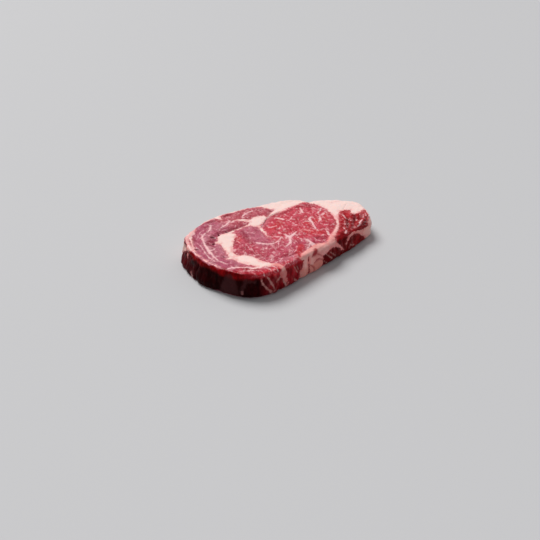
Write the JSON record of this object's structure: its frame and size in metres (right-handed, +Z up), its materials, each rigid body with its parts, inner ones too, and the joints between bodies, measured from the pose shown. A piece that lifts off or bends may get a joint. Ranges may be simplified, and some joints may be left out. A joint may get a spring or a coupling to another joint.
{
  "type": "raw dry-aged ribeye steak",
  "caption": "Thick raw beef steak cut across the rib, one solid slice of marbled lean with its seams and edges of fat, lying flat on a cut face.",
  "frame": {"origin": "middle of the footprint's box, on the surface that the steak lies on", "axes": "+X along the slice from the round cap end to the fatty tail, +Y towards the side with the outer fat, +Z up out of the shown cut face"},
  "size_m": [0.1874, 0.107, 0.0213],
  "materials": {
    "raw_meat": "moist cut meat, dark red lean with cream-pink fat"
  },
  "bodies": {
    "root": {"steak": "raw_meat"}
  },
  "joints": []
}
